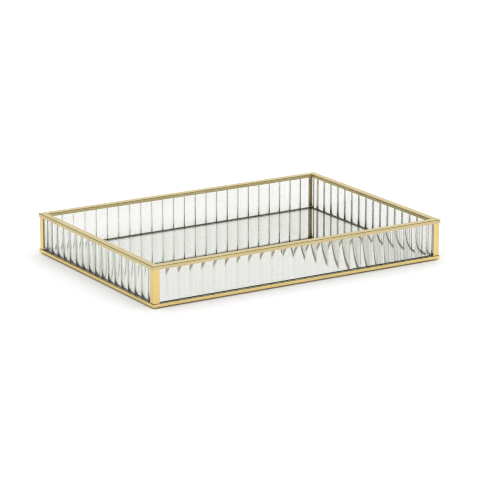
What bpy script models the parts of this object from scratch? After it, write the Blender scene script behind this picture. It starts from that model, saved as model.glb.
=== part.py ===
"""Mirrored vanity tray: a brass-finished sheet frame that holds four fluted glass walls and a mirror.

Run with  blender --background --python part.py  or from the text editor.
Metres, +Z up.  The origin is on the ground under the middle of the tray, +X runs along the long side
and the front wall faces -Y.  Nothing on this tray moves, so every piece sits straight in the frame.
"""
import math

import bmesh
import bpy
from mathutils import Matrix, Vector

# Driving dimensions -----------------------------------------------------------------------------
TRAY_LENGTH = 0.3200          # over the outer faces of the frame, along X
TRAY_WIDTH = 0.2240           # over the outer faces of the frame, along Y
FRAME_HEIGHT = 0.0392         # underside of the bottom rails to the top of the rim
FIT_GAP = 0.0003              # clearance between pieces that touch on the real tray
SHEET = 0.0004                # brass-finished sheet of the rails, rim and posts

PAD_DIAMETER = 0.0090
PAD_THICKNESS = 0.0010
PAD_INSET = 0.0080            # pad centre to the outer faces of the frame
PAD_SIDES = 24

RIM_OUTER_LEG = 0.0036        # height of the outer leg of the channel that caps the walls
RIM_INNER_LEG = 0.0033
RAIL_LEG_HEIGHT = 0.0030      # outer leg of the angle round the bottom
RAIL_FLANGE_WIDTH = 0.0130    # flat of that angle, which carries the mirror
POST_LEG_WIDTH = 0.0065

GLASS_THICKNESS = 0.0050
FLUTE_PITCH = 0.01262         # half-inch reeded glass
FLUTE_DEPTH = 0.0015
FLUTE_SEGMENTS = 6            # flats that stand for one hollow flute
MIRROR_THICKNESS = 0.0025
BACKING_THICKNESS = 0.0007    # sheet that covers the mirror's painted back, inside the flanges

# First ridge of each wall, as a part of one pitch, from the wall's left end seen from outside
FLUTE_PHASE = {"front": 0.98, "right": 0.24, "back": 0.30, "left": 0.26}

# Levels and insets that follow ------------------------------------------------------------------
HALF_LENGTH = TRAY_LENGTH / 2
HALF_WIDTH = TRAY_WIDTH / 2
RAIL_BOTTOM = PAD_THICKNESS + FIT_GAP
RIM_TOP = RAIL_BOTTOM + FRAME_HEIGHT
FLANGE_TOP = RAIL_BOTTOM + SHEET
MIRROR_BOTTOM = FLANGE_TOP + FIT_GAP
MIRROR_TOP = MIRROR_BOTTOM + MIRROR_THICKNESS
WALL_BOTTOM = MIRROR_TOP + FIT_GAP                    # the walls and posts stand on the mirror
WALL_TOP = RIM_TOP - SHEET - FIT_GAP

MIRROR_INSET = SHEET + FIT_GAP                        # edges of the mirror, behind the rails' legs
POST_INSET = SHEET + FIT_GAP                          # outer face of the posts, behind the rim's leg
GLASS_INSET = POST_INSET + SHEET + FIT_GAP            # outer face of the glass, behind the posts
GLASS_INNER_INSET = GLASS_INSET + GLASS_THICKNESS
SHORT_WALL_END_INSET = GLASS_INNER_INSET + FIT_GAP    # the short walls end against the long ones
RIM_WIDTH = GLASS_INNER_INSET + FIT_GAP + SHEET
BACKING_INSET = RAIL_FLANGE_WIDTH + FIT_GAP

# The four sides: turn about +Z that brings the front side there, half its length, and its outer face
SIDES = {
    "front": (0.0, HALF_LENGTH, HALF_WIDTH),
    "right": (math.pi / 2, HALF_WIDTH, HALF_LENGTH),
    "back": (math.pi, HALF_LENGTH, HALF_WIDTH),
    "left": (-math.pi / 2, HALF_WIDTH, HALF_LENGTH),
}

# The corner at the left end of each side, seen from outside
LEFT_CORNERS = {"front": "front_left", "right": "front_right", "back": "back_right", "left": "back_left"}


def clear_scene():
    """Remove whatever the file opened with."""
    for old in list(bpy.data.objects):
        bpy.data.objects.remove(old, do_unlink=True)


def make_material(name, colour, roughness, metallic=0.0, transmission=0.0):
    """Return a Principled material with a plain colour."""
    material = bpy.data.materials.new(name)
    material.use_nodes = True
    shader = material.node_tree.nodes["Principled BSDF"]
    shader.inputs["Base Color"].default_value = (*colour, 1.0)
    shader.inputs["Roughness"].default_value = roughness
    shader.inputs["Metallic"].default_value = metallic
    shader.inputs["Transmission Weight"].default_value = transmission
    return material


def add_object(name, mesh_builder, material, parent, turn=0.0):
    """Wrap a finished bmesh in an object that is turned about the tray's middle."""
    bmesh.ops.recalc_face_normals(mesh_builder, faces=mesh_builder.faces)
    mesh = bpy.data.meshes.new(name)
    mesh_builder.to_mesh(mesh)
    mesh_builder.free()
    mesh.materials.append(material)
    piece = bpy.data.objects.new(name, mesh)
    piece.rotation_euler = (0.0, 0.0, turn)
    piece.parent = parent
    bpy.context.scene.collection.objects.link(piece)
    return piece


def prism(outline, low, high):
    """Return a bmesh of a flat outline in XY, raised from low to high."""
    builder = bmesh.new()
    corners = [builder.verts.new((x, y, low)) for x, y in outline]
    base = builder.faces.new(corners)
    raised = bmesh.ops.extrude_face_region(builder, geom=[base])
    tops = [item for item in raised["geom"] if isinstance(item, bmesh.types.BMVert)]
    bmesh.ops.translate(builder, vec=Vector((0.0, 0.0, high - low)), verts=tops)
    return builder


def mitred_run(section, half_length, outer_face):
    """Return a bmesh of a sheet section swept along the front side, with 45 degree ends.

    The section is a list of (inset from the outer face, height) points.  Each end is cut back with
    the inset, so that two neighbouring runs meet on the corner's diagonal with a fit gap.
    """
    builder = bmesh.new()
    end_gap = FIT_GAP * math.sqrt(0.5)
    rings = []
    for end in (-1.0, 1.0):
        ring = []
        for inset, height in section:
            along = end * (half_length - inset - end_gap)
            ring.append(builder.verts.new((along, inset - outer_face, height)))
        rings.append(ring)
        builder.faces.new(ring)
    count = len(section)
    for index in range(count):
        following = (index + 1) % count
        builder.faces.new((rings[0][index], rings[0][following], rings[1][following], rings[1][index]))
    return builder


def rim_section():
    """Channel, open downwards, that caps a wall: outer leg, top web, inner leg."""
    under_web = RIM_TOP - SHEET
    outer_end = RIM_TOP - RIM_OUTER_LEG
    inner_end = RIM_TOP - RIM_INNER_LEG
    return [
        (0.0, outer_end), (0.0, RIM_TOP), (RIM_WIDTH, RIM_TOP), (RIM_WIDTH, inner_end),
        (RIM_WIDTH - SHEET, inner_end), (RIM_WIDTH - SHEET, under_web),
        (SHEET, under_web), (SHEET, outer_end),
    ]


def rail_section():
    """Angle round the bottom: outer leg and the flange under the mirror."""
    leg_end = RAIL_BOTTOM + RAIL_LEG_HEIGHT
    return [
        (0.0, RAIL_BOTTOM), (0.0, leg_end), (SHEET, leg_end), (SHEET, FLANGE_TOP),
        (RAIL_FLANGE_WIDTH, FLANGE_TOP), (RAIL_FLANGE_WIDTH, RAIL_BOTTOM),
    ]


def flute_face(half_length, phase):
    """Return (along, hollow) points of the outer face: hollow arcs between sharp ridges."""
    half_pitch = FLUTE_PITCH / 2
    radius = (FLUTE_DEPTH ** 2 + half_pitch ** 2) / (2 * FLUTE_DEPTH)
    first_ridge = (phase - 1.0) * FLUTE_PITCH - half_length
    shortest_step = FLUTE_PITCH / FLUTE_SEGMENTS / 3

    stations = [-half_length]
    steps = math.ceil((2 * half_length / FLUTE_PITCH + 1) * FLUTE_SEGMENTS)
    for step in range(steps + 1):
        along = first_ridge + step * FLUTE_PITCH / FLUTE_SEGMENTS
        if shortest_step < along + half_length < 2 * half_length - shortest_step:
            stations.append(along)
    stations.append(half_length)

    face = []
    for along in stations:
        from_middle = (along - first_ridge) % FLUTE_PITCH - half_pitch
        rise = radius - math.sqrt(radius ** 2 - from_middle ** 2)
        face.append((along, FLUTE_DEPTH - rise))
    return face


def glass_wall(half_length, outer_face, phase):
    """Return a bmesh of one wall: fluted outside, flat inside."""
    outline = [(along, GLASS_INSET + hollow - outer_face) for along, hollow in flute_face(half_length, phase)]
    inner = GLASS_INNER_INSET - outer_face
    outline += [(half_length, inner), (-half_length, inner)]
    return prism(outline, WALL_BOTTOM, WALL_TOP)


def corner_post(half_length, outer_face):
    """Return a bmesh of the angle post at the left end of the front side."""
    near = POST_INSET
    web = near + SHEET
    far = near + POST_LEG_WIDTH
    angle = [(near, near), (far, near), (far, web), (web, web), (web, far), (near, far)]
    outline = [(x - half_length, y - outer_face) for x, y in angle]
    return prism(outline, WALL_BOTTOM, WALL_TOP)


def base_plate(inset, low, thickness):
    """Return a bmesh of a rectangular plate, set back from the tray's outer faces."""
    x = HALF_LENGTH - inset
    y = HALF_WIDTH - inset
    return prism([(-x, -y), (x, -y), (x, y), (-x, y)], low, low + thickness)


def foot_pad(half_length, outer_face):
    """Return a bmesh of the round pad under the left end of the front side."""
    builder = bmesh.new()
    centre = Vector((PAD_INSET - half_length, PAD_INSET - outer_face, PAD_THICKNESS / 2))
    bmesh.ops.create_cone(
        builder, cap_ends=True, segments=PAD_SIDES, radius1=PAD_DIAMETER / 2,
        radius2=PAD_DIAMETER / 2, depth=PAD_THICKNESS, matrix=Matrix.Translation(centre),
    )
    return builder


def smooth_round_side(piece, angle_degrees):
    """Shade the round sides smooth and keep the real edges sharp."""
    piece.data.shade_smooth()
    piece.data.set_sharp_from_angle(angle=math.radians(angle_degrees))


def build_frame(parent, brass):
    """Four rim channels, four bottom rails and four corner posts."""
    for side, (turn, half_length, outer_face) in SIDES.items():
        rim = mitred_run(rim_section(), half_length, outer_face)
        add_object(f"rim_channel_{side}", rim, brass, parent, turn)
        rail = mitred_run(rail_section(), half_length, outer_face)
        add_object(f"bottom_rail_{side}", rail, brass, parent, turn)
        post = corner_post(half_length, outer_face)
        add_object(f"corner_post_{LEFT_CORNERS[side]}", post, brass, parent, turn)


def build_walls(parent, glass):
    """Long walls run the full length; the short walls fit between them."""
    for side, (turn, half_length, outer_face) in SIDES.items():
        end_inset = GLASS_INSET if side in ("front", "back") else SHORT_WALL_END_INSET
        wall = glass_wall(half_length - end_inset, outer_face, FLUTE_PHASE[side])
        piece = add_object(f"glass_wall_{side}", wall, glass, parent, turn)
        smooth_round_side(piece, 15.0)


def build_base(parent, mirror, backing):
    """The mirror that things stand on, and the sheet that covers its painted back."""
    plate = base_plate(MIRROR_INSET, MIRROR_BOTTOM, MIRROR_THICKNESS)
    add_object("mirror_base", plate, mirror, parent)
    backing_low = FLANGE_TOP - BACKING_THICKNESS
    sheet = base_plate(BACKING_INSET, backing_low, BACKING_THICKNESS)
    add_object("backing_sheet", sheet, backing, parent)


def build_pads(parent, rubber):
    """One round pad under each corner of the bottom rails."""
    for side, (turn, half_length, outer_face) in SIDES.items():
        pad = foot_pad(half_length, outer_face)
        piece = add_object(f"foot_pad_{LEFT_CORNERS[side]}", pad, rubber, parent, turn)
        smooth_round_side(piece, 30.0)


def main():
    clear_scene()
    tray = bpy.data.objects.new("vanity_tray", None)
    bpy.context.scene.collection.objects.link(tray)

    brass = make_material("satin_brass", (0.72, 0.55, 0.27), 0.35, metallic=1.0)
    glass = make_material("fluted_glass", (0.90, 0.95, 0.91), 0.05, transmission=1.0)
    mirror = make_material("mirror", (0.88, 0.91, 0.89), 0.02, metallic=1.0)
    backing = make_material("backing", (0.07, 0.07, 0.07), 0.80)
    rubber = make_material("pad_rubber", (0.05, 0.05, 0.05), 0.70)

    build_frame(tray, brass)
    build_walls(tray, glass)
    build_base(tray, mirror, backing)
    build_pads(tray, rubber)


main()
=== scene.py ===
"""Finished look of the mirrored vanity tray.

A frame of satin brass sheet holds four walls of fluted clear glass over a mirror.  What belongs to a
side or a corner is modelled on the front side of the tray and is then turned to its own side.  Every
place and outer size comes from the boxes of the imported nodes.  Metres, +Z up, front wall towards -Y.
"""

import logging
import math
from collections.abc import Callable, Iterable
from dataclasses import dataclass
from enum import Enum
from functools import cache
from typing import ClassVar

import bmesh
import bpy
from mathutils import Matrix, Vector


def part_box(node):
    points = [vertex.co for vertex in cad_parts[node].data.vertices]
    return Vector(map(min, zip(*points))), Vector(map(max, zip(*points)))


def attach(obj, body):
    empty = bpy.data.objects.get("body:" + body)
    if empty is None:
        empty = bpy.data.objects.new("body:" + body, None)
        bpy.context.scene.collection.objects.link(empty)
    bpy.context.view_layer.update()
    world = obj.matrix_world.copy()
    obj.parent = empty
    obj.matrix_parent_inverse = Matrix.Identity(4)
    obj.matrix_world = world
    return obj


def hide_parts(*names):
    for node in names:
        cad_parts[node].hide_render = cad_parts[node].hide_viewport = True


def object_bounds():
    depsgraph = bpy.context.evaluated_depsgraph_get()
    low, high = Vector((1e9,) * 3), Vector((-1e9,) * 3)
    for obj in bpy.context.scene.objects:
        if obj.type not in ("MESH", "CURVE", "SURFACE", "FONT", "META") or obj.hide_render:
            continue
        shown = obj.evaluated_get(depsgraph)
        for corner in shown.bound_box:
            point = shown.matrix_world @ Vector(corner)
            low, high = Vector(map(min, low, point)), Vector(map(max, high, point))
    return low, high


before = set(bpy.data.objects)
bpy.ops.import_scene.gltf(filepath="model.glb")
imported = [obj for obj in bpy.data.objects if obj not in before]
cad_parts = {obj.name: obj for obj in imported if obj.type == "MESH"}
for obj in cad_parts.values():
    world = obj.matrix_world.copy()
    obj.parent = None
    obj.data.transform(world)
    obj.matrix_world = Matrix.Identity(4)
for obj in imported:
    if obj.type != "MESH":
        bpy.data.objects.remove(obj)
CAD_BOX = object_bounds()
BODY = "root"

X, Y, Z = range(3)
NEAR = 1e-6  # lengths that differ by less are the same
FACING = 0.5  # a face looks along an axis when its normal has more than this share of it
LEVEL = 0.9  # the same for a face that lies level or all but level
SHARP_ANGLE = 50.0  # edges that bend by more are broken, in degrees

NOISE_ROUGHNESS = 0.6
WEAR_SAMPLES = 4
WEAR_GAIN = 6.0
WEAR_PATCHES_PER_METRE = 160.0
CLOUD_RANGE = (0.3, 0.7)  # noise values that become 0 and 1

Colour = tuple[float, float, float]
Direction = tuple[float, float, float]

log = logging.getLogger("vanity_tray")


# Named options ----------------------------------------------------------------------------------
class Grain(Enum):
    """Direction in which a brass piece was brushed, as the stretch of its streak pattern."""

    ALONG_X = (0.02, 1.0, 1.0)
    ALONG_Y = (1.0, 0.02, 1.0)
    UPRIGHT = (1.0, 1.0, 0.02)


class Side(Enum):
    """A side of the tray: its name, its quarter turns from the front and the corner at its left end."""

    FRONT = ("front", 0, "front_left")
    RIGHT = ("right", 1, "front_right")
    BACK = ("back", 2, "back_right")
    LEFT = ("left", 3, "back_left")

    def __init__(self, label: str, quarter_turns: int, corner: str) -> None:
        """Name the parts of the value.

        Args:
            label: The side's name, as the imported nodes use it.
            quarter_turns: Quarter turns about +Z that bring the front side here.
            corner: Name of the corner at the side's left end, seen from outside.
        """
        self.label = label
        self.quarter_turns = quarter_turns
        self.corner = corner

    @property
    def turn(self) -> float:
        """Return the turn about +Z that brings the front side here, in radians."""
        return self.quarter_turns * math.pi / 2

    @property
    def grain(self) -> Grain:
        """Return the direction in which strips on this side are brushed."""
        return Grain.ALONG_Y if self.quarter_turns % 2 else Grain.ALONG_X

    def lay_flat(self, corners: Iterable[Vector]) -> tuple[Vector, Vector]:
        """Turn a box to where it would lie if this side were the front one.

        Args:
            corners: Lowest and highest corner of the box in the tray's frame.

        Returns:
            Lowest and highest corner on the front side.
        """
        unturn = Matrix.Rotation(-self.turn, 4, "Z")
        first, second = (unturn @ corner for corner in corners)
        return Vector(map(min, first, second)), Vector(map(max, first, second))


class Pick(Enum):
    """Kind of element that a selection is made of."""

    EDGES = "EDGE"
    FACES = "FACE"


# Bench ------------------------------------------------------------------------------------------
class Workpiece:
    """A mesh on the bench, shaped in edit mode while its object stays at the origin."""

    def __init__(self, name: str) -> None:
        """Take over the primitive that was added last and open it in edit mode.

        Args:
            name: Name of the finished piece.
        """
        self.shape: bpy.types.Object = bpy.context.object
        self.shape.name = name
        self.shape.data.name = name
        bpy.ops.object.mode_set(mode="EDIT")

    @classmethod
    def block(cls, name: str, low: Vector, high: Vector) -> "Workpiece":
        """Start a piece from a block.

        Args:
            name: Name of the finished piece.
            low: Lowest corner of the block.
            high: Highest corner of the block.

        Returns:
            The piece, in edit mode and selected all over.
        """
        bpy.ops.object.select_all(action="DESELECT")
        bpy.ops.mesh.primitive_cube_add(size=1.0)
        piece = cls(name)
        bpy.ops.transform.resize(value=high - low, center_override=(0.0, 0.0, 0.0))
        bpy.ops.transform.translate(value=(low + high) / 2)
        return piece

    @classmethod
    def disc(cls, name: str, low: Vector, high: Vector, sides: int) -> "Workpiece":
        """Start a piece from a short upright cylinder that fills a box.

        Args:
            name: Name of the finished piece.
            low: Lowest corner of the box.
            high: Highest corner of the box.
            sides: Number of flats round the cylinder.

        Returns:
            The piece, in edit mode and selected all over.
        """
        bpy.ops.object.select_all(action="DESELECT")
        bpy.ops.mesh.primitive_cylinder_add(
            vertices=sides, radius=(high.x - low.x) / 2, depth=high.z - low.z
        )
        piece = cls(name)
        bpy.ops.transform.translate(value=(low + high) / 2)
        return piece

    def select(self, kind: Pick, wanted: Callable[..., bool]) -> None:
        """Select only the edges or faces that pass a test.

        Args:
            kind: Whether edges or faces are meant.
            wanted: Test of one edge or face of the edit mesh.
        """
        bpy.ops.mesh.select_mode(type=kind.value)
        bpy.ops.mesh.select_all(action="DESELECT")
        mesh = bmesh.from_edit_mesh(self.shape.data)
        for item in mesh.edges if kind is Pick.EDGES else mesh.faces:
            item.select = wanted(item)
        mesh.select_flush_mode()
        bmesh.update_edit_mesh(self.shape.data)

    def remove_faces(self, wanted: Callable[[bmesh.types.BMFace], bool]) -> None:
        """Delete the faces that pass a test."""
        self.select(Pick.FACES, wanted)
        bpy.ops.mesh.delete(type="FACE")

    def round_off(self, radius: float, steps: int) -> None:
        """Round the selected edges."""
        bpy.ops.mesh.bevel(offset=radius, segments=steps, affect="EDGES")

    def apply(self, kind: str, **settings: object) -> None:
        """Add a modifier, set it up and apply it at once.

        Args:
            kind: Type of the modifier.
            settings: Its properties by name.
        """
        bpy.ops.object.mode_set(mode="OBJECT")
        modifier = self.shape.modifiers.new(kind.title(), kind)
        for name, value in settings.items():
            setattr(modifier, name, value)
        bpy.ops.object.modifier_apply(modifier=modifier.name)
        bpy.ops.object.mode_set(mode="EDIT")

    def thicken(self, thickness: float) -> None:
        """Give the open sheet its thickness, inwards from the faces that show."""
        self.apply("SOLIDIFY", thickness=thickness, offset=-1.0, use_even_offset=True)

    def ease_edges(self, width: float, steps: int = 2) -> None:
        """Break all sharp edges with a small round."""
        angle = math.radians(SHARP_ANGLE)
        self.apply("BEVEL", width=width, segments=steps, limit_method="ANGLE", angle_limit=angle)

    def cut(self, point: Direction, out: Direction, close: bool) -> None:
        """Cut the whole piece with a plane and drop what lies beyond it.

        Args:
            point: Point on the plane.
            out: Direction of the part that is dropped.
            close: Whether the cut is closed with a face.
        """
        bpy.ops.mesh.select_all(action="SELECT")
        bpy.ops.mesh.bisect(plane_co=point, plane_no=out, clear_outer=True, use_fill=close)

    def set_slot(self, slot: int, wanted: Callable[[bmesh.types.BMFace], bool]) -> None:
        """Give some faces another of the piece's materials.

        Args:
            slot: Number of the material.
            wanted: Test of one face of the edit mesh.
        """
        mesh = bmesh.from_edit_mesh(self.shape.data)
        for face in mesh.faces:
            if wanted(face):
                face.material_index = slot
        bmesh.update_edit_mesh(self.shape.data)

    def done(self, turn: float = 0.0, smooth_below: float = 30.0) -> bpy.types.Object:
        """Leave edit mode, turn the piece to its side and shade its curves smooth.

        Args:
            turn: Turn about +Z, in radians.
            smooth_below: Edges with a smaller angle are shaded smooth, in degrees.

        Returns:
            The finished object, with its place in its mesh.
        """
        bpy.ops.mesh.select_all(action="SELECT")
        bpy.ops.object.mode_set(mode="OBJECT")
        self.shape.rotation_euler.z = turn
        bpy.ops.object.transform_apply(location=False, rotation=True, scale=False)
        bpy.ops.object.shade_smooth_by_angle(angle=math.radians(smooth_below))
        flats = self.shape.modifiers.new("Flats", "WEIGHTED_NORMAL")
        flats.keep_sharp = True
        bpy.ops.object.modifier_apply(modifier=flats.name)
        return self.shape


def same(value: float, target: float) -> bool:
    """Return whether two lengths are the same."""
    return abs(value - target) < NEAR


def edge_at(edge: bmesh.types.BMEdge, axis: int, target: float) -> bool:
    """Return whether both ends of an edge have the same coordinate on an axis."""
    return all(same(end.co[axis], target) for end in edge.verts)


def runs_along(edge: bmesh.types.BMEdge, axis: int) -> bool:
    """Return whether the ends of an edge lie at different places on an axis."""
    return not same(edge.verts[0].co[axis], edge.verts[1].co[axis])


def looks(face: bmesh.types.BMFace, axis: int, way: float) -> bool:
    """Return whether a face looks along an axis, forwards for +1 or backwards for -1."""
    return face.normal[axis] * way > FACING


def fit(piece: bpy.types.Object, node: str, materials: Iterable[bpy.types.Material]) -> None:
    """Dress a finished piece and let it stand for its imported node.

    Args:
        piece: The finished object.
        node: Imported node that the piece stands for.
        materials: Its materials, in the order of its slot numbers.
    """
    for material in materials:
        piece.data.materials.append(material)
    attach(piece, BODY)
    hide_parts(node)
    log.info("%s stands for %s: %d faces", piece.name, node, len(piece.data.polygons))


# Shared shader groups ---------------------------------------------------------------------------
class ShaderSheet:
    """A node tree under construction, with short calls for adding and joining nodes."""

    def __init__(self, tree: bpy.types.NodeTree) -> None:
        """Work on an existing node tree; start and end are the inner ends of a group."""
        self.tree = tree
        self.start: bpy.types.Node | None = None
        self.end: bpy.types.Node | None = None

    @classmethod
    def group(cls, name: str, inputs: dict[str, float | None], output: str) -> "ShaderSheet":
        """Start a node group with one output, which is a value.

        Args:
            name: Name of the group.
            inputs: Default value of each input by name; None makes a vector input.
            output: Name of the output.

        Returns:
            The sheet of the new group.
        """
        tree = bpy.data.node_groups.new(name, "ShaderNodeTree")
        for label, value in inputs.items():
            kind = "NodeSocketVector" if value is None else "NodeSocketFloat"
            socket = tree.interface.new_socket(label, in_out="INPUT", socket_type=kind)
            if value is not None:
                socket.default_value = value
        tree.interface.new_socket(output, in_out="OUTPUT", socket_type="NodeSocketFloat")
        sheet = cls(tree)
        sheet.start = tree.nodes.new("NodeGroupInput")
        sheet.end = tree.nodes.new("NodeGroupOutput")
        return sheet

    def feed(self, value: object, socket: bpy.types.NodeSocket) -> None:
        """Link an output to an input, or set the input.

        Args:
            value: An output or a plain value; a colour has three parts.
            socket: The input.
        """
        if isinstance(value, bpy.types.NodeSocket):
            self.tree.links.new(value, socket)
        elif socket.type == "RGBA":
            socket.default_value = (*value, 1.0)
        else:
            socket.default_value = value

    def add(self, kind: str, **settings: object) -> bpy.types.Node:
        """Add a node and feed its properties and inputs.

        Args:
            kind: Type of the node, without the ShaderNode prefix.
            settings: Properties by name; the name of an input, with _ for each space, feeds that input.

        Returns:
            The new node.
        """
        node = self.tree.nodes.new(f"ShaderNode{kind}")
        for name, value in settings.items():
            socket = name.replace("_", " ")
            if socket in node.inputs:
                self.feed(value, node.inputs[socket])
            else:
                setattr(node, name, value)
        return node

    def math(self, operation: str, *values: object) -> bpy.types.NodeSocket:
        """Add a Math node.

        Args:
            operation: Name of the operation.
            values: An output or a number for each input.

        Returns:
            The node's result.
        """
        node = self.add("Math", operation=operation)
        for value, socket in zip(values, node.inputs):
            self.feed(value, socket)
        return node.outputs[0]

    def vector_math(self, operation: str, first: object, second: object) -> bpy.types.NodeSocket:
        """Add a Vector Math node.

        Args:
            operation: Name of the operation.
            first: An output or a vector.
            second: An output or a vector.

        Returns:
            The node's value for a dot product, and otherwise its vector.
        """
        node = self.add("VectorMath", operation=operation)
        self.feed(first, node.inputs[0])
        self.feed(second, node.inputs[1])
        return node.outputs["Value" if operation == "DOT_PRODUCT" else "Vector"]

    def noise(self, position: bpy.types.NodeSocket, scale: object, detail: float) -> bpy.types.NodeSocket:
        """Add a noise pattern at a position and return its value, about 0.5 on average."""
        node = self.add("TexNoise", Vector=position, Scale=scale, Detail=detail, Roughness=NOISE_ROUGHNESS)
        return node.outputs["Fac"]

    def object_position(self) -> bpy.types.NodeSocket:
        """Add a Texture Coordinate node and return its object coordinates."""
        return self.add("TexCoord").outputs["Object"]

    def effect(self, group: bpy.types.NodeTree, **values: object) -> bpy.types.NodeSocket:
        """Place a shared group with its own values.

        Args:
            group: The node group.
            values: Value or output for each input by name.

        Returns:
            The group's output.
        """
        node = self.tree.nodes.new("ShaderNodeGroup")
        node.node_tree = group
        for name, value in values.items():
            self.feed(value, node.inputs[name])
        return node.outputs[0]


def shared_group(name: str, make: Callable[[str], bpy.types.NodeTree]) -> bpy.types.NodeTree:
    """Return a node group by name, made on its first use."""
    return bpy.data.node_groups.get(name) or make(name)


def make_brushed_grain(name: str) -> bpy.types.NodeTree:
    """Make the group for fine parallel streaks, such as a belt leaves on sheet metal.

    Args:
        name: Name of the group.

    Returns:
        A group with inputs Position, Stretch and Fineness and the output Streak, from 0 to 1.
    """
    sheet = ShaderSheet.group(name, {"Position": None, "Stretch": None, "Fineness": 1.0}, "Streak")
    inputs = sheet.start.outputs
    stretched = sheet.vector_math("MULTIPLY", inputs["Position"], inputs["Stretch"])
    sheet.feed(sheet.noise(stretched, inputs["Fineness"], detail=4.0), sheet.end.inputs["Streak"])
    return sheet.tree


def make_edge_wear(name: str) -> bpy.types.NodeTree:
    """Make the group that finds edges rubbed by hands and cloths.

    Args:
        name: Name of the group.

    Returns:
        A group with inputs Position, Reach and Patchiness and the output Wear, from 0 to 1.
    """
    sheet = ShaderSheet.group(name, {"Position": None, "Reach": 0.0004, "Patchiness": 1.0}, "Wear")
    inputs = sheet.start.outputs
    rounded = sheet.add("Bevel", samples=WEAR_SAMPLES, Radius=inputs["Reach"])
    plain = sheet.add("NewGeometry")
    agreement = sheet.vector_math("DOT_PRODUCT", rounded.outputs["Normal"], plain.outputs["Normal"])
    bent = sheet.math("SUBTRACT", 1.0, agreement)
    strong = sheet.math("MULTIPLY", bent, WEAR_GAIN)
    patches = sheet.noise(inputs["Position"], WEAR_PATCHES_PER_METRE, detail=3.0)
    spread = sheet.math("MULTIPLY", patches, inputs["Patchiness"])
    worn = sheet.math("MULTIPLY", strong, spread)
    sheet.feed(sheet.math("MINIMUM", worn, 1.0), sheet.end.inputs["Wear"])
    return sheet.tree


def make_clouding(name: str) -> bpy.types.NodeTree:
    """Make the group for slow, soft changes over a surface.

    Args:
        name: Name of the group.

    Returns:
        A group with inputs Position and Scale and the output Cloud, from 0 to 1.
    """
    sheet = ShaderSheet.group(name, {"Position": None, "Scale": 20.0}, "Cloud")
    inputs = sheet.start.outputs
    pattern = sheet.noise(inputs["Position"], inputs["Scale"], detail=2.0)
    low, high = CLOUD_RANGE
    spread = sheet.add("MapRange", Value=pattern, From_Min=low, From_Max=high)
    sheet.feed(spread.outputs["Result"], sheet.end.inputs["Cloud"])
    return sheet.tree


# Finishes ---------------------------------------------------------------------------------------
class Finish:
    """Base of the finishes, with the steps that they share."""

    @staticmethod
    def open(name: str) -> tuple[bpy.types.Material, ShaderSheet, bpy.types.Node]:
        """Make an empty Principled material.

        Args:
            name: Name of the material.

        Returns:
            The material, its node sheet and its Principled shader.
        """
        material = bpy.data.materials.new(name)
        material.use_nodes = True
        return material, ShaderSheet(material.node_tree), material.node_tree.nodes["Principled BSDF"]

    @staticmethod
    def clouds(sheet: ShaderSheet, position: bpy.types.NodeSocket, per_metre: float) -> bpy.types.NodeSocket:
        """Place the clouding group and return its slow changes, from 0 to 1."""
        group = shared_group("clouding", make_clouding)
        return sheet.effect(group, Position=position, Scale=per_metre)

    @staticmethod
    def blend(
        sheet: ShaderSheet,
        share: bpy.types.NodeSocket,
        low: Colour | bpy.types.NodeSocket,
        high: Colour | bpy.types.NodeSocket,
    ) -> bpy.types.NodeSocket:
        """Blend two colours.

        Args:
            sheet: Node sheet of the material.
            share: Share of the second colour, from 0 to 1.
            low: The first colour.
            high: The second colour.

        Returns:
            The blended colour.
        """
        mix = sheet.add("Mix", data_type="RGBA")
        first, second = (socket for socket in mix.inputs if socket.type == "RGBA")
        sheet.feed(share, mix.inputs[0])
        sheet.feed(low, first)
        sheet.feed(high, second)
        return next(socket for socket in mix.outputs if socket.type == "RGBA")

    @staticmethod
    def relief(
        sheet: ShaderSheet,
        shader: bpy.types.Node,
        height: bpy.types.NodeSocket,
        depth: float,
        strength: float,
    ) -> None:
        """Feed a height to the shader's normal.

        Args:
            sheet: Node sheet of the material.
            shader: Its Principled shader.
            height: Height from 0 to 1.
            depth: Real depth of the relief, in metres.
            strength: Strength of the bump.
        """
        bump = sheet.add("Bump", Distance=depth, Strength=strength, Height=height)
        sheet.feed(bump.outputs["Normal"], shader.inputs["Normal"])


@dataclass(frozen=True)
class SatinBrass(Finish):
    """Brass-finished sheet, brushed along the strip, with slightly rubbed edges."""

    name: str = "frame_brass"
    colour: Colour = (0.83, 0.65, 0.285)
    deep_colour: Colour = (0.79, 0.61, 0.255)
    rubbed_colour: Colour = (0.88, 0.72, 0.38)
    clouds_per_metre: float = 30.0
    wear_reach: float = 0.0005
    wear_patchiness: float = 1.4
    roughness: tuple[float, float] = (0.40, 0.52)
    streaks_per_metre: float = 2600.0
    streak_range: tuple[float, float] = (0.25, 0.75)
    streak_depth: float = 0.00002
    streak_strength: float = 0.25

    @cache
    def material(self, grain: Grain) -> bpy.types.Material:
        """Return the brass brushed in one direction, made on its first use.

        Args:
            grain: Direction in which the piece was brushed.

        Returns:
            The material.
        """
        material, sheet, shader = self.open(f"{self.name}_{grain.name.lower()}")
        position = sheet.object_position()
        streaks = sheet.effect(
            shared_group("brushed_grain", make_brushed_grain),
            Position=position, Stretch=grain.value, Fineness=self.streaks_per_metre,
        )
        wear = sheet.effect(
            shared_group("edge_wear", make_edge_wear),
            Position=position, Reach=self.wear_reach, Patchiness=self.wear_patchiness,
        )
        clouds = self.clouds(sheet, position, self.clouds_per_metre)
        toned = self.blend(sheet, clouds, self.deep_colour, self.colour)
        sheet.feed(self.blend(sheet, wear, toned, self.rubbed_colour), shader.inputs["Base Color"])
        low, high = self.streak_range
        smooth, rough = self.roughness
        spread = sheet.add(
            "MapRange", Value=streaks, From_Min=low, From_Max=high, To_Min=smooth, To_Max=rough
        )
        sheet.feed(spread.outputs["Result"], shader.inputs["Roughness"])
        shader.inputs["Metallic"].default_value = 1.0
        self.relief(sheet, shader, streaks, self.streak_depth, self.streak_strength)
        return material


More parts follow.
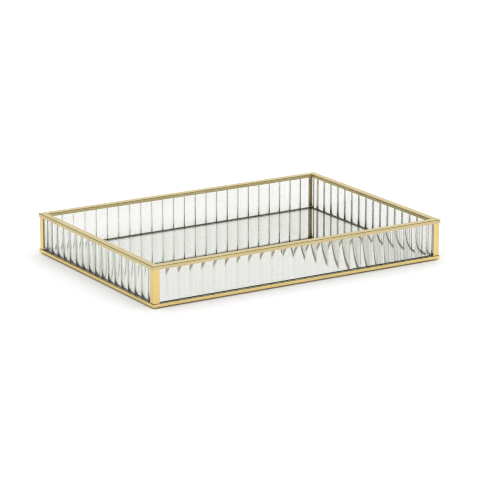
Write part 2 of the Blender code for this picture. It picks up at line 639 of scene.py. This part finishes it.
@dataclass(frozen=True)
class ClearGlass(Finish):
    """Clear glass with a pale tint at its surface and a green body colour where it is thick."""

    name: str = "clear_fluted_glass"
    surface_tint: Colour = (0.905, 0.895, 0.88)
    body_tint: Colour = (0.32, 0.47, 0.34)
    density: float = 14.0
    index: float = 1.52

    @cache
    def material(self) -> bpy.types.Material:
        """Return the glass, made on its first use.

        Returns:
            The material.
        """
        material, sheet, shader = self.open(self.name)
        sheet.feed(self.surface_tint, shader.inputs["Base Color"])
        shader.inputs["Roughness"].default_value = 0.0
        shader.inputs["IOR"].default_value = self.index
        shader.inputs["Transmission Weight"].default_value = 1.0
        body = sheet.add("VolumeAbsorption", Density=self.density, Color=self.body_tint)
        output = material.node_tree.nodes["Material Output"]
        sheet.feed(body.outputs["Volume"], output.inputs["Volume"])
        return material


@dataclass(frozen=True)
class GroundEdge(Finish):
    """Cut and ground edge of glass, which looks dark green from outside."""

    dark: Colour = (0.016, 0.034, 0.002)
    light: Colour = (0.040, 0.085, 0.004)
    chips_per_metre: float = 900.0
    chip_depth: float = 0.00003
    chip_strength: float = 0.4
    roughness: float = 0.6
    gloss: float = 0.1

    @cache
    def material(self) -> bpy.types.Material:
        """Return the ground edge, made on its first use.

        Returns:
            The material.
        """
        material, sheet, shader = self.open("ground_edge")
        chips = self.clouds(sheet, sheet.object_position(), self.chips_per_metre)
        sheet.feed(self.blend(sheet, chips, self.dark, self.light), shader.inputs["Base Color"])
        shader.inputs["Roughness"].default_value = self.roughness
        shader.inputs["Specular IOR Level"].default_value = self.gloss
        self.relief(sheet, shader, chips, self.chip_depth, self.chip_strength)
        return material


@dataclass(frozen=True)
class Silvering(Finish):
    """Silver layer behind the mirror's glass, with slow and faint changes of brightness."""

    bright: Colour = (0.95, 0.96, 0.95)
    dull: Colour = (0.93, 0.94, 0.93)
    clouds_per_metre: float = 12.0

    @cache
    def material(self) -> bpy.types.Material:
        """Return the silver layer, made on its first use.

        Returns:
            The material.
        """
        material, sheet, shader = self.open("silvering")
        clouds = self.clouds(sheet, sheet.object_position(), self.clouds_per_metre)
        sheet.feed(self.blend(sheet, clouds, self.dull, self.bright), shader.inputs["Base Color"])
        shader.inputs["Metallic"].default_value = 1.0
        shader.inputs["Roughness"].default_value = 0.0
        return material


@dataclass(frozen=True)
class MattBlack(Finish):
    """Matt black moulded or coated surface with a fine grain."""

    name: str
    dark: Colour
    light: Colour
    roughness: float
    grains_per_metre: float
    grain_depth: float = 0.00005
    grain_strength: float = 0.5

    @cache
    def material(self) -> bpy.types.Material:
        """Return the black finish, made on its first use.

        Returns:
            The material.
        """
        material, sheet, shader = self.open(self.name)
        grain = self.clouds(sheet, sheet.object_position(), self.grains_per_metre)
        sheet.feed(self.blend(sheet, grain, self.dark, self.light), shader.inputs["Base Color"])
        shader.inputs["Roughness"].default_value = self.roughness
        self.relief(sheet, shader, grain, self.grain_depth, self.grain_strength)
        return material


# Frame of brass sheet ---------------------------------------------------------------------------
@dataclass
class SheetStrip:
    """Sizes and steps that the long strips of the brass frame share."""

    side: Side
    brass: SatinBrass
    sheet: float = 0.0004
    bend_radius: float = 0.0006
    bend_steps: int = 4
    joint_gap: float = 0.00005
    burr: float = 0.00006
    overrun: float = 0.0010

    def start(self, name: str, low: Vector, high: Vector) -> Workpiece:
        """Start a strip from a block that runs past both mitres."""
        over = Vector((self.overrun, 0.0, 0.0))
        return Workpiece.block(name, low - over, high + over)

    def mitre(self, work: Workpiece) -> None:
        """Cut both ends on the diagonals of the tray's corners.

        Args:
            work: The strip, as a closed sheet that runs past both corners.
        """
        low, high = self.side.lay_flat(CAD_BOX)
        for end, corner in ((-1.0, low.x), (1.0, high.x)):
            work.cut((corner - end * self.joint_gap, low.y, 0.0), (end, 1.0, 0.0), close=True)

    def finish(self, work: Workpiece) -> bpy.types.Object:
        """Thicken the open sheet, mitre it and break its edges.

        Args:
            work: The strip, as an open sheet.

        Returns:
            The finished object.
        """
        work.thicken(self.sheet)
        self.mitre(work)
        work.ease_edges(self.burr)
        return work.done(self.side.turn)


@dataclass(kw_only=True)
class RimChannel(SheetStrip):
    """Channel, open downwards, that caps one wall; its folds carry painted shade, a dark brass that stands
    in for the dark reflection along the bends.
    """

    SHADED_FOLD_SLOT: ClassVar[int] = 1

    fold_shade_brass: SatinBrass
    shaded_fold_slope: tuple[float, float] = (0.1, 0.95)
    inner_leg: float = 0.0033

    def build(self) -> bpy.types.Object:
        """Fold the channel: outer leg, top and a shorter inner leg.

        Returns:
            The finished object.
        """
        low, high = self.side.lay_flat(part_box(f"rim_channel_{self.side.label}"))
        work = self.start(f"rim_{self.side.label}", low, high)
        work.remove_faces(lambda face: looks(face, Z, -1) or looks(face, X, -1) or looks(face, X, 1))
        work.select(Pick.EDGES, lambda edge: edge_at(edge, Y, high.y) and edge_at(edge, Z, low.z))
        bpy.ops.transform.translate(value=(0.0, 0.0, high.z - low.z - self.inner_leg))
        work.select(Pick.EDGES, lambda edge: edge_at(edge, Z, high.z) and runs_along(edge, X))
        work.round_off(self.bend_radius, self.bend_steps)
        steepest, flattest = self.shaded_fold_slope
        # The faces of the rounded fold get the dark brass: painted shade for the dark reflection along the
        # bend.
        work.set_slot(self.SHADED_FOLD_SLOT, lambda face: steepest < abs(face.normal.z) < flattest)
        return self.finish(work)

    def dress(self, piece: bpy.types.Object) -> None:
        """Give the channel its brass and the painted shade on its folds."""
        materials = [finish.material(self.side.grain) for finish in (self.brass, self.fold_shade_brass)]
        fit(piece, f"rim_channel_{self.side.label}", materials)


@dataclass
class BottomRail(SheetStrip):
    """Angle round the bottom: a leg outside the mirror's edge and a flange under it."""

    def build(self) -> bpy.types.Object:
        """Fold the angle from the leg and the flange.

        Returns:
            The finished object.
        """
        low, high = self.side.lay_flat(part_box(f"bottom_rail_{self.side.label}"))
        work = self.start(f"rail_{self.side.label}", low, high)
        work.remove_faces(lambda face: not (looks(face, Y, -1) or looks(face, Z, -1)))
        work.select(Pick.EDGES, lambda edge: edge_at(edge, Y, low.y) and edge_at(edge, Z, low.z))
        work.round_off(self.bend_radius, self.bend_steps)
        return self.finish(work)

    def dress(self, piece: bpy.types.Object) -> None:
        """Give the rail its brass."""
        fit(piece, f"bottom_rail_{self.side.label}", [self.brass.material(self.side.grain)])


@dataclass
class CornerPost:
    """Upright angle at the left end of a side."""

    side: Side
    brass: SatinBrass
    sheet: float = 0.0004
    bend_radius: float = 0.0005
    bend_steps: int = 4
    burr: float = 0.00006

    def build(self) -> bpy.types.Object:
        """Fold the angle from its two outer faces.

        Returns:
            The finished object.
        """
        low, high = self.side.lay_flat(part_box(f"corner_post_{self.side.corner}"))
        work = Workpiece.block(f"post_{self.side.corner}", low, high)
        work.remove_faces(lambda face: not (looks(face, X, -1) or looks(face, Y, -1)))
        work.select(Pick.EDGES, lambda edge: edge_at(edge, X, low.x) and edge_at(edge, Y, low.y))
        work.round_off(self.bend_radius, self.bend_steps)
        work.thicken(self.sheet)
        work.ease_edges(self.burr)
        return work.done(self.side.turn)

    def dress(self, piece: bpy.types.Object) -> None:
        """Give the post its brass, brushed upright."""
        fit(piece, f"corner_post_{self.side.corner}", [self.brass.material(Grain.UPRIGHT)])


# Glass ------------------------------------------------------------------------------------------
@dataclass
class FlutedWall:
    """One glass wall: hollow flutes outside, flat inside, ground at its top and bottom edges."""

    GROUND_SLOT: ClassVar[int] = 1

    side: Side
    phase: float
    glass: ClearGlass
    edge: GroundEdge
    pitch: float = 0.01262
    hollow: float = 0.0015
    flute_steps: int = 32
    ridge_round: float = 0.00025
    ridge_steps: int = 4
    seam: float = 0.0002
    seat_gap: float = 0.00005
    smooth_below: float = 12.0

    def build(self) -> bpy.types.Object:
        """Spin one flute, repeat it along the wall and give the sheet its body.

        Returns:
            The finished object.
        """
        low, high = self.side.lay_flat(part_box(f"glass_wall_{self.side.label}"))
        low.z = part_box("mirror_base")[1].z + self.seat_gap
        first = low.x + (self.phase - 1.0) * self.pitch
        work = self.spin_flute(first, low, high)
        work.apply(
            "ARRAY",
            count=math.ceil((high.x - first) / self.pitch) + 1,
            use_relative_offset=False,
            use_constant_offset=True,
            constant_offset_displace=(self.pitch, 0.0, 0.0),
            use_merge_vertices=True,
            merge_threshold=NEAR * 10,
        )
        work.cut((low.x, 0.0, 0.0), (-1.0, 0.0, 0.0), close=False)
        work.cut((high.x, 0.0, 0.0), (1.0, 0.0, 0.0), close=False)
        self.round_ridges(work, low, high)
        self.fill_out(work, low, high)
        work.set_slot(self.GROUND_SLOT, lambda face: looks(face, Z, 1) or looks(face, Z, -1))
        return work.done(self.side.turn, self.smooth_below)

    def spin_flute(self, first: float, low: Vector, high: Vector) -> Workpiece:
        """Spin the outer face of one flute from an upright edge of a block.

        Args:
            first: Place of the flute's left ridge along the wall.
            low: Lowest corner of the wall.
            high: Highest corner of the wall.

        Returns:
            The flute, as an open sheet.
        """
        start = Vector((first, low.y, low.z))
        end = Vector((first + self.pitch, high.y, high.z))
        work = Workpiece.block(f"wall_{self.side.label}", start, end)
        work.select(Pick.EDGES, lambda edge: edge_at(edge, X, first) and edge_at(edge, Y, low.y))
        bpy.ops.mesh.select_mode(type="VERT")
        bpy.ops.mesh.select_all(action="INVERT")
        bpy.ops.mesh.delete(type="VERT")
        bpy.ops.mesh.select_all(action="SELECT")
        radius = (self.hollow ** 2 + (self.pitch / 2) ** 2) / (2 * self.hollow)
        half_angle = math.asin(self.pitch / 2 / radius)
        bpy.ops.mesh.spin(
            steps=self.flute_steps,
            angle=2 * half_angle,
            axis=(0.0, 0.0, 1.0),
            center=(first + self.pitch / 2, low.y + self.hollow - radius, 0.0),
        )
        return work

    def round_ridges(self, work: Workpiece, low: Vector, high: Vector) -> None:
        """Round the ridges between the flutes, as pressed glass leaves them.

        Args:
            work: The fluted face of the wall, as an open sheet.
            low: Lowest corner of the wall.
            high: Highest corner of the wall.
        """
        reach = NEAR * 20
        margin = self.ridge_round * 2

        def is_ridge(edge: bmesh.types.BMEdge) -> bool:
            """Return whether an upright edge stands on a ridge inside the wall's length."""
            inside = low.x + margin < edge.verts[0].co.x < high.x - margin
            return inside and all(end.co.y < low.y + reach for end in edge.verts)

        work.select(Pick.EDGES, is_ridge)
        work.round_off(self.ridge_round, self.ridge_steps)

    def fill_out(self, work: Workpiece, low: Vector, high: Vector) -> None:
        """Extrude the fluted sheet inwards, flatten the inner face and seam its bottom edge.

        Args:
            work: The fluted face of the wall, as an open sheet.
            low: Lowest corner of the wall.
            high: Highest corner of the wall.
        """
        bpy.ops.mesh.select_mode(type="FACE")
        bpy.ops.mesh.select_all(action="SELECT")
        bpy.ops.mesh.extrude_region_move(TRANSFORM_OT_translate={"value": (0.0, high.y - low.y, 0.0)})
        bpy.ops.transform.resize(value=(1.0, 0.0, 1.0), center_override=(0.0, high.y, 0.0))
        bpy.ops.mesh.select_all(action="SELECT")
        bpy.ops.mesh.normals_make_consistent(inside=False)
        work.select(Pick.EDGES, lambda edge: edge_at(edge, Y, high.y) and edge_at(edge, Z, low.z))
        work.round_off(self.seam, steps=1)

    def dress(self, piece: bpy.types.Object) -> None:
        """Give the wall clear faces and dark ground edges."""
        materials = [self.glass.material(), self.edge.material()]
        fit(piece, f"glass_wall_{self.side.label}", materials)


@dataclass
class MirrorPlate:
    """Silvered plate glass that the walls stand on, bare of silver along its hidden border."""

    SILVER_SLOT: ClassVar[int] = 1
    GROUND_SLOT: ClassVar[int] = 2

    glass: ClearGlass
    silver: Silvering
    edge: GroundEdge
    arris: float = 0.0003
    bare_border: float = 0.0042

    def build(self) -> bpy.types.Object:
        """Shape the plate from a block, ease its edges and part the silver from the border.

        Returns:
            The finished object.
        """
        low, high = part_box("mirror_base")
        work = Workpiece.block("mirror_plate", low, high)
        work.ease_edges(self.arris)
        work.select(Pick.FACES, lambda face: face.normal.z < -LEVEL)
        bpy.ops.mesh.inset(thickness=self.bare_border)
        work.set_slot(self.GROUND_SLOT, lambda face: face.normal.z < LEVEL)
        work.set_slot(self.SILVER_SLOT, lambda face: face.select)
        return work.done()

    def dress(self, piece: bpy.types.Object) -> None:
        """Give the plate its glass, the silver behind it and dark ground edges."""
        materials = [self.glass.material(), self.silver.material(), self.edge.material()]
        fit(piece, "mirror_base", materials)


# Underside --------------------------------------------------------------------------------------
@dataclass
class BackingPanel:
    """Matt sheet that covers the mirror's painted back."""

    film: MattBlack
    corner_radius: float = 0.004
    corner_steps: int = 6
    edge_round: float = 0.0001

    def build(self) -> bpy.types.Object:
        """Shape the sheet from a block, with round corners.

        Returns:
            The finished object.
        """
        low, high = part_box("backing_sheet")
        work = Workpiece.block("backing_panel", low, high)
        work.select(Pick.EDGES, lambda edge: runs_along(edge, Z))
        work.round_off(self.corner_radius, self.corner_steps)
        work.ease_edges(self.edge_round)
        return work.done()

    def dress(self, piece: bpy.types.Object) -> None:
        """Give the sheet its matt black."""
        fit(piece, "backing_sheet", [self.film.material()])


@dataclass
class FootPad:
    """Round rubber pad under one corner."""

    side: Side
    rubber: MattBlack
    sides: int = 48
    rim_round: float = 0.00015
    dish_inset: float = 0.0008

    def build(self) -> bpy.types.Object:
        """Shape the pad from a disc, with a round rim and a slightly raised border below.

        Returns:
            The finished object.
        """
        low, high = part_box(f"foot_pad_{self.side.corner}")
        work = Workpiece.disc(f"pad_{self.side.corner}", low, high, self.sides)
        work.select(Pick.FACES, lambda face: looks(face, Z, -1))
        bpy.ops.mesh.inset(thickness=self.dish_inset)
        bpy.ops.transform.translate(value=(0.0, 0.0, self.rim_round))
        work.ease_edges(self.rim_round)
        return work.done()

    def dress(self, piece: bpy.types.Object) -> None:
        """Give the pad its rubber."""
        fit(piece, f"foot_pad_{self.side.corner}", [self.rubber.material()])


# Studio -----------------------------------------------------------------------------------------
@dataclass
class Studio:
    """Plain pale floor, soft light from all round and the camera."""

    floor_size: float = 14.0
    floor_colour: Colour = (0.90, 0.90, 0.90)
    floor_roughness: float = 0.9
    light_colour: Colour = (1.0, 1.0, 1.0)
    overhead_level: float = 2.0
    overhead_spread: tuple[float, float] = (0.5, 1.0)
    key_level: float = 1.12
    dim_level: float = 0.67
    key_azimuth: float = 90.0
    key_spread: tuple[float, float] = (-0.6, 0.6)
    gap_dimming: float = 0.35
    gap_spread: tuple[float, float] = (0.33, 0.55)
    azimuth: float = -31.667
    elevation: float = 15.373
    roll: float = 0.078
    distance: float = 2.5695
    aim: Direction = (0.0032, 0.0029, 0.0154)
    lens: float = 197.835
    sensor: float = 36.0
    far_limit: float = 100.0
    glass_bounces: int = 24
    gloss_bounces: int = 16
    filter_width: float = 1.1

    def lay_floor(self) -> None:
        """Lay the floor under the tray."""
        bpy.ops.object.select_all(action="DESELECT")
        bpy.ops.mesh.primitive_plane_add(size=self.floor_size)
        floor = bpy.context.object
        floor.name = "studio_floor"
        material, sheet, shader = Finish.open("studio_floor")
        sheet.feed(self.floor_colour, shader.inputs["Base Color"])
        shader.inputs["Roughness"].default_value = self.floor_roughness
        floor.data.materials.append(material)

    def light(self) -> None:
        """Light the studio from all round.

        The light is strongest overhead and stronger on the key side than on the one across from it.
        Between the horizon and the overhead light it fades to a dimmer band.
        """
        world = bpy.data.worlds.new("studio_light")
        bpy.context.scene.world = world
        world.use_nodes = True
        sheet = ShaderSheet(world.node_tree)
        direction = sheet.add("TexCoord").outputs["Generated"]
        up = (0.0, 0.0, 1.0)
        across = math.radians(self.key_azimuth)
        key = (math.sin(across), math.cos(across), 0.0)
        overhead = self.share_towards(sheet, direction, up, *self.overhead_spread)
        in_gap = self.share_towards(sheet, direction, up, *self.gap_spread)
        towards_key = self.share_towards(sheet, direction, key, *self.key_spread)
        beside = sheet.math("MULTIPLY_ADD", towards_key, self.key_level - self.dim_level, self.dim_level)
        faded = sheet.math("MULTIPLY_ADD", in_gap, -self.gap_dimming, 1.0)
        rest = sheet.math("MULTIPLY", sheet.math("SUBTRACT", 1.0, overhead), faded)
        around = sheet.math("MULTIPLY", rest, beside)
        level = sheet.math("MULTIPLY_ADD", overhead, self.overhead_level, around)
        background = world.node_tree.nodes["Background"]
        sheet.feed(self.light_colour, background.inputs["Color"])
        sheet.feed(level, background.inputs["Strength"])

    @staticmethod
    def share_towards(
        sheet: ShaderSheet,
        direction: bpy.types.NodeSocket,
        axis: Direction,
        low: float,
        high: float,
    ) -> bpy.types.NodeSocket:
        """Return how far a direction lies towards an axis.

        Args:
            sheet: Node sheet of the world.
            direction: The direction that is lit.
            axis: Unit vector of the axis.
            low: Cosine at which the share is 0.
            high: Cosine at which the share is 1.

        Returns:
            A share that rises smoothly from 0 to 1.
        """
        along = sheet.vector_math("DOT_PRODUCT", direction, axis)
        ramp = sheet.add(
            "MapRange", interpolation_type="SMOOTHSTEP", Value=along, From_Min=low, From_Max=high
        )
        return ramp.outputs["Result"]

    def set_camera(self) -> None:
        """Place the camera on its line of sight to the tray."""
        data = bpy.data.cameras.new("camera")
        data.lens = self.lens
        data.sensor_width = self.sensor
        data.clip_end = self.far_limit
        camera = bpy.data.objects.new("camera", data)
        bpy.context.scene.collection.objects.link(camera)
        bpy.context.scene.camera = camera
        across = math.radians(self.azimuth)
        above = math.radians(self.elevation)
        back = Vector(
            (math.sin(across) * math.cos(above), -math.cos(across) * math.cos(above), math.sin(above))
        )
        roll = Matrix.Rotation(math.radians(self.roll), 3, "Z")
        turn = (-back).to_track_quat("-Z", "Y").to_matrix() @ roll
        camera.rotation_euler = turn.to_euler()
        camera.location = Vector(self.aim) + back * self.distance

    def set_picture(self) -> None:
        """Set how the picture is developed and how far light is followed through glass."""
        scene = bpy.context.scene
        scene.view_settings.view_transform = "Standard"
        scene.cycles.max_bounces = self.glass_bounces
        scene.cycles.transmission_bounces = self.glass_bounces
        scene.cycles.glossy_bounces = self.gloss_bounces
        scene.cycles.use_denoising = True
        scene.cycles.filter_width = self.filter_width


# First ridge of each wall, as a part of one pitch from the wall's left end seen from outside
RIDGE_PHASES = {Side.FRONT: 0.98, Side.RIGHT: 0.24, Side.BACK: 0.30, Side.LEFT: 0.26}


def main() -> None:
    """Build the tray from the mirror outwards, then the studio round it."""
    frame_brass = SatinBrass()
    # The rims get a darker, duller copy of the frame's brass: painted shade that stands in for the dimmer
    # reflections on the rims.
    rim_shaded_brass = SatinBrass("rim_shaded_brass", (0.66, 0.555, 0.30), (0.61, 0.51, 0.27), (0.74, 0.63, 0.38))
    # Dark brass for the rim folds: painted shade that stands in for the dark reflection along the bends.
    fold_shade_brass = SatinBrass("fold_shade_brass", (0.26, 0.20, 0.09), (0.21, 0.16, 0.07), (0.32, 0.25, 0.12))
    wall_glass = ClearGlass()
    plate_glass = ClearGlass("plate_glass")
    edge = GroundEdge()
    film = MattBlack("backing_film", (0.035, 0.035, 0.035), (0.060, 0.060, 0.060), 0.80, 700.0)
    rubber = MattBlack("black_rubber", (0.025, 0.025, 0.025), (0.045, 0.045, 0.045), 0.70, 1500.0)

    pieces = [MirrorPlate(plate_glass, Silvering(), edge), BackingPanel(film)]
    for side in Side:
        pieces.append(FlutedWall(side, RIDGE_PHASES[side], wall_glass, edge))
        pieces.append(RimChannel(side, rim_shaded_brass, fold_shade_brass=fold_shade_brass))
        pieces.append(BottomRail(side, frame_brass))
        pieces.append(CornerPost(side, frame_brass))
        pieces.append(FootPad(side, rubber))
    for piece in pieces:
        piece.dress(piece.build())

    studio = Studio()
    studio.lay_floor()
    studio.light()
    studio.set_camera()
    studio.set_picture()


if __name__ == "__main__":
    logging.basicConfig(level=logging.INFO, format="%(name)s: %(message)s")
    main()
